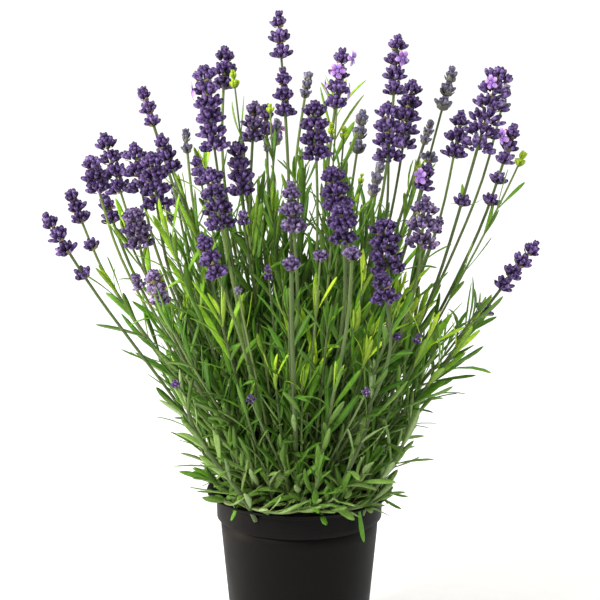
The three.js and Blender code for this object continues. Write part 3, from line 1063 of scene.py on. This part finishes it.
def shareOutSkirt(draw, level):
    v = skirtValues
    for k in range(v["count"]):
        outward = outwardAt((k + stray(draw, 0.3)) * 2 * math.pi / v["count"])
        foot = outward * draw.uniform(*v["feet"]) * mm + upward * (level - v["footDrop"])
        tip = outward * draw.uniform(*v["tips"]) * mm + upward * draw.uniform(*v["heights"]) * mm
        if abs(outward.x) > v["bareLip"]:
            tip = foot + (tip - foot) * v["bareReach"] + upward * v["bareLift"]
        nearest = min(shoots, key=lambda s: (s["tip"].xy.normalized() - tip.xy.normalized()).length)
        nearest["extra"].append(("skirt", foot, tip))


def shareOutRim():
    for foot, tip in rimShoots:
        angle = math.degrees(math.atan2(tip[1], tip[0]))
        nearestShoot(angle)["extra"].append(("rim", Vector(foot) * mm, Vector(tip) * mm))


def addShoot(bm, foot, tip, draw, young, old=0.2, broad=1.0, leafRange=(15, 40), droop=0.0, spacing=1.0,
             stout=1.0):
    # `young` is the tint at the tip and `old` the tint near the ground; leaves grow longer up the shoot
    v = shootLeafValues
    path = shootPath(foot, tip, droop)
    top = path["total"]
    side = shootValues["side"] * stout * draw.uniform(0.8, 1.1)
    painted = len(bm.faces)
    addStem(bm, path, top, side, draw, shootValues["stations"])
    painted = paint(bm, painted, 0)
    turn = draw.uniform(0, math.pi)
    distance = top - v["topGap"]
    short, long = leafRange
    low = broad > 1
    pair = 0
    while distance > top * v["lowBareFoot" if low else "bareFoot"]:
        share = distance / top
        isYoung = pair < v["youngPairs"]
        tilt = 11 + 4 * min(pair, 4) + 22 * (1 - share) ** 2
        length = (short + (long - short) * min(share * 1.5, 1)) * min(0.4 + 0.22 * pair, 1)
        tone = old + (young - old) * share ** 1.5 + (v["youngTone"] if isYoung else 0)
        addPair(bm, path, distance, turn, (tilt - 7, tilt + 9), (length * 0.8, length * 1.15),
                (tone - v["stray"], tone + v["stray"]), draw, broad * (1.22 - 0.42 * share),
                upperLeaves if pair < 3 else leaves, -0.1 if low else -1.0)
        gap = v["youngSpacing"] if isYoung else draw.uniform(0.6, 0.8) + 0.4 * share
        distance -= v["spacing"] * spacing * gap
        turn += math.pi / 2 + stray(draw, 0.25)
        pair += 1
    paint(bm, painted, 1)


def addTrail(bm, start, end, draw):
    v = trailValues
    points = []
    for share, reach, rise in v["shape"]:
        outward = outwardAt(math.radians(start + (end - start) * share))
        points.append(outward * lip.x * reach + upward * (lip.z + rise * mm))
    path = smoothPath(points, 6)
    painted = len(bm.faces)
    addStem(bm, path, path["total"], v["side"], draw, v["stations"])
    painted = paint(bm, painted, 0)
    distance, turn = path["total"], v["firstTurn"]
    while distance > path["total"] * v["bareFoot"]:
        spot, tangent = placeOn(path, distance)
        for half in (0, 1):
            addLeaf(bm, spot, tangent, turn + math.pi * half, math.radians(draw.uniform(*v["tilts"])),
                    draw.uniform(*v["lengths"]) * mm, draw.uniform(*v["tones"]), draw, v["broad"],
                    upperLeaves, draw.uniform(*v["lowest"]))
        distance -= draw.uniform(*v["spacings"]) * mm
        turn += math.pi / 2 + stray(draw, 0.3)
    paint(bm, painted, 1)


def addHangingLeaf(bm, angle, tilt, length, draw):
    v = hangingValues
    outward = outwardAt(math.radians(angle))
    spot = outward * (lip.x - v["inset"]) + upward * (lip.z + v["rise"])
    matrix = frameFor(tilted(upward, outward, math.radians(tilt)), outward + upward * 0.3, spot)
    size = Matrix.Diagonal((1, 1, length * mm / leafValues["length"], 1))
    addCopy(bm, leaves[0], matrix @ size, draw.uniform(*v["tones"]))


def makeShoot(shoot, index):
    draw = random.Random(300 + index)
    bm = newShape()
    number, foot, tip = shoot["number"], shoot["foot"], shoot["tip"]
    addShoot(bm, foot, tip, draw, youngTips.get(number, usualTip))
    for offset in brightShoots.get(number, []):
        addShoot(bm, foot, tip + Vector(offset) * mm, draw, brightTip, brightBase)
    for kind, foot, tip in shoot["extra"]:
        if kind == "inner":
            addShoot(bm, foot, tip, draw, draw.choice(innerTips), innerShadeBase)
        elif kind == "tall":
            addShoot(bm, foot, tip, draw, draw.choice(tallTips), draw.choice(tallBases))
        elif kind == "rim":
            addShoot(bm, foot, tip, draw, draw.uniform(*rimTips), **rimLook)
        else:
            addShoot(bm, foot, tip, draw, draw.uniform(*skirtTips), **skirtLook)
    for start, end in trails:
        if nearestShoot(start) is shoot:
            addTrail(bm, start, end, draw)
    painted = len(bm.faces)
    for angle, tilt, length in hangingLeaves:
        if nearestShoot(angle) is shoot:
            addHangingLeaf(bm, angle, tilt, length, draw)
    paint(bm, painted, 1)
    finishPiece(bm, "lavender_" + shoot["node"], [stemGreen, leafBlade], [shoot["node"]])


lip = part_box("plastic_pot")[1]
shoots = [readShoot(name) for name in shootNodes]
spread = random.Random(41)
shareOutInner(spread, shoots[0]["foot"].z)
shareOutSkirt(spread, shoots[0]["foot"].z)
shareOutRim()
for index, shoot in enumerate(shoots):
    makeShoot(shoot, index)
print("leafy shoots made")


crownValues = {
    "trunkRadius": 7.5 * mm,
    "trunkSides": 8,
    "trunkReach": 0.55,
    "trunkTaper": [(0, 1.25), (0.3, 1.0), (0.7, 0.85), (1, 0.45)],
    "branchRadius": 1.5 * mm,
    "branchSides": 4,
    "branchTaper": [1.25, 1.16, 1.07, 0.98, 0.89, 0.8],
    "branchStart": 0.35,
    "branchInset": 0.4,
    "sagPlace": 0.6,
    "sag": 2.2 * mm,
    "overlap": 1.5 * mm,    # each branch runs on into the stem that it carries
}


def makeCrown():
    v = crownValues
    bm = newShape()
    low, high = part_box("woody_crown")
    height = high.z - low.z
    draw = random.Random(9)
    trunk = [station(low.z + height * v["trunkReach"] * t, v["trunkRadius"] * share, v["trunkRadius"] * share)
             for t, share in v["trunkTaper"]]
    sweep(bm, ringOf(v["trunkSides"]), trunk)
    for foot in [grown["foot"] for grown in stalks + shoots]:
        start = Vector((foot.x, foot.y, 0)).normalized() * v["trunkRadius"] * v["branchInset"]
        start.z = low.z + height * v["branchStart"]
        sagged = start.lerp(foot, v["sagPlace"]) - upward * v["sag"]
        path = smoothPath([start, sagged, foot + upward * v["overlap"]], 4)
        branch = []
        for i, share in enumerate(v["branchTaper"]):
            spot, tangent = placeOn(path, path["total"] * i / (len(v["branchTaper"]) - 1))
            radius = v["branchRadius"] * share * draw.uniform(0.85, 1.15)
            size = Matrix.Diagonal((radius, radius, 1, 1))
            branch.append(frameFor(tangent, Vector((0.1, 0.1, 1)), spot) @ size)
        sweep(bm, ringOf(v["branchSides"]), branch)
    return finishPiece(bm, "gnarled_woody_crown", [crownBark], ["woody_crown"])


makeCrown()
print("crown made")


soilValues = {
    "rings": 40,
    "segments": 96,
    "gap": 0.3 * mm,    # between the soil and the wall of the pot
    "bottomRadius": 43.6 * mm,
    "bottomLift": 3.6 * mm,
    "edge": [(0.6 * mm, 12 * mm), (0, 3.5 * mm)],    # how far in and how far down the side turns over
    "dome": 2.2 * mm,
    "crumb": 1.1 * mm,
    "crumbDepth": 3 * mm,
    "smoothEdge": 1 * mm,
}


def makeSoil():
    v = soilValues
    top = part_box("potting_soil")[1]
    radius = top.x - v["gap"]
    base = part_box("plastic_pot")[0].z + v["bottomLift"]
    profile = [(0, base), (v["bottomRadius"], base)]
    profile += [(radius - inset, top.z - drop) for inset, drop in v["edge"]]
    for i in range(1, v["rings"] + 1):
        share = 1 - i / v["rings"]
        profile.append((radius * share, top.z - v["dome"] * share ** 2))
    bm = newShape()
    spinProfile(bm, profile, v["segments"])
    draw = random.Random(5)
    for vert in bm.verts:
        if vert.co.z > top.z - v["crumbDepth"] and vert.co.xy.length < radius - v["smoothEdge"]:
            vert.co.z += draw.uniform(-1, 0.9) * v["crumb"]
    return finishPiece(bm, "crumbly_compost", [compost], ["potting_soil"])


makeSoil()
print("soil made")


potValues = {
    "segments": 128,
    "flare": 1.015,
    # radius and height in mm, up the outside from the middle of the base and down the inside
    "profile": [
        (0, 0), (44.4, 0), (45.6, 0.5), (46, 1.4), (47.2, 15), (50.9, 54), (54.9, 97), (55.3, 104.2),
        (54.6, 104.9), (54.6, 106.4), (57.6, 106.5), (57.9, 106.8), (57.95, 110.2),
        (58.2, 119.6), (58.1, 120.3), (58.1, 120.9), (58.6, 121.8), (60.2, 122.9), (63.9, 124.2),
        (64.7, 124.6), (65, 125.2), (64.8, 125.8), (64.2, 126),
        (61, 125.6), (58.4, 124.9), (56.8, 123.4), (56.2, 121), (55.7, 109), (54.3, 106.6), (53.7, 104),
        (49.4, 54), (45.7, 15), (44.5, 3.6), (43.6, 3.0), (0, 3.0),
    ],
    "holes": 8,
    "holeSides": 40,
    "holeRadius": 4.5 * mm,
    "holeRing": 31 * mm,
    "cutterHeight": 16 * mm,
    "channelWidth": 7 * mm,
    "channelDepth": 1.2 * mm,
    "channelReach": (16 * mm, 40 * mm),
}


def makeCutter(name, fill):
    bm = bmesh.new()
    for i in range(potValues["holes"]):
        fill(bm, Matrix.Rotation(2 * math.pi * i / potValues["holes"], 4, "Z"))
    cutter = bpy.data.objects.new(name, toMesh(bm, name))
    scene.collection.objects.link(cutter)
    return cutter


def addHole(bm, turn):
    v = potValues
    bmesh.ops.create_cone(bm, cap_ends=True, segments=v["holeSides"], radius1=v["holeRadius"],
                          radius2=v["holeRadius"], depth=v["cutterHeight"],
                          matrix=turn @ Matrix.Translation((v["holeRing"], 0, 0)))


def addChannel(bm, turn):
    near, far = potValues["channelReach"]
    size = Matrix.Diagonal((far - near, potValues["channelWidth"], 2 * potValues["channelDepth"], 1))
    bmesh.ops.create_cube(bm, size=1, matrix=turn @ Matrix.Translation(((near + far) / 2, 0, 0)) @ size)


def cutDrainage(piece):
    cutters = [makeCutter("hole_cutter", addHole), makeCutter("channel_cutter", addChannel)]
    for cutter in cutters:
        cut = piece.modifiers.new("drainage", "BOOLEAN")
        cut.operation, cut.solver, cut.object = "DIFFERENCE", "EXACT", cutter
    bpy.context.view_layer.update()
    shape = piece.evaluated_get(bpy.context.evaluated_depsgraph_get())
    whole = bpy.data.meshes.new_from_object(shape)
    piece.modifiers.clear()
    piece.data = whole
    for cutter in cutters:
        bpy.data.objects.remove(cutter)


def makePot():
    v = potValues
    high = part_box("plastic_pot")[1]
    wide = v["flare"] * high.x / max(x for x, z in v["profile"])
    tall = high.z / max(z for x, z in v["profile"])
    bm = newShape()
    spinProfile(bm, [(x * wide, z * tall) for x, z in v["profile"]], v["segments"])
    cutDrainage(finishPiece(bm, "nursery_pot", [potPlastic], ["plastic_pot"]))


makePot()
print("pot made")


cameraValues = {
    "target": (0.0005, 0, 0.263),
    "distance": 1.5,
    "elevation": 12.2,
    "lens": 128.6,
    "sensor": 36,
    "clip": (0.05, 50),
}

# name, place, size, power and colour
lights = [("key_left", (-1.4, -1.3, 1.6), 0.7, 54, "#ffffff"),
          ("low_left_softbox", (-1.1, 0.1, 0.22), 0.6, 8, "#ffe8d2")]
lightTarget = Vector((0, 0, 0.25))

roomValues = {
    "floorRadius": 14,
    "glowRange": (-0.9, 0.0),    # the room is dimmer in front of the object than behind it
    "glow": (0.47, 1.22),
}


def makeCamera():
    v = cameraValues
    data = bpy.data.cameras.new("studio_camera")
    data.lens, data.sensor_width = v["lens"], v["sensor"]
    data.clip_start, data.clip_end = v["clip"]
    camera = bpy.data.objects.new("studio_camera", data)
    scene.collection.objects.link(camera)
    lift = math.radians(v["elevation"])
    back = Vector((0, -math.cos(lift), math.sin(lift)))
    camera.location = Vector(v["target"]) + back * v["distance"]
    camera.rotation_euler = (-back).to_track_quat("-Z", "Y").to_euler()
    scene.camera = camera


def makeLight(name, place, size, power, colour):
    data = bpy.data.lights.new(name, "AREA")
    data.shape = "DISK"
    data.size, data.energy, data.color = size, power, srgb(colour)[:3]
    light = bpy.data.objects.new(name, data)
    light.visible_camera = False
    scene.collection.objects.link(light)
    light.location = place
    light.rotation_euler = (lightTarget - Vector(place)).to_track_quat("-Z", "Y").to_euler()


# Matt white paper with a faint fibre
def makePaper():
    material, tree, shader = newMaterial("white_studio_paper", Roughness=0.9)
    colour = addRamp(tree, addNoise(tree, 60.0, 4.0), [(0.3, "#fafaf9"), (0.7, "#fdfdfc")])
    tree.links.new(colour, shader.inputs["Base Color"])
    return material


def makeStudio():
    bm = bmesh.new()
    bmesh.ops.create_circle(bm, cap_ends=True, segments=96, radius=roomValues["floorRadius"])
    mesh = toMesh(bm, "paper_floor")
    mesh.materials.append(makePaper())
    floor = bpy.data.objects.new("paper_floor", mesh)
    scene.collection.objects.link(floor)
    world = bpy.data.worlds.new("white_room")
    world.use_nodes = True
    tree = world.node_tree
    way = addNode(tree, "SeparateXYZ", {"Vector": addNode(tree, "TexCoord").outputs["Generated"]})
    glow = addRange(tree, way.outputs["Y"], *roomValues["glowRange"], *roomValues["glow"])
    glow.node.interpolation_type = "SMOOTHSTEP"
    background = tree.nodes["Background"]
    background.inputs["Color"].default_value = srgb("#ffffff")
    tree.links.new(glow, background.inputs["Strength"])
    scene.world = world
    for light in lights:
        makeLight(*light)
    scene.view_settings.view_transform = "Standard"
    scene.view_settings.look = "None"


makeCamera()
makeStudio()
print("studio made")
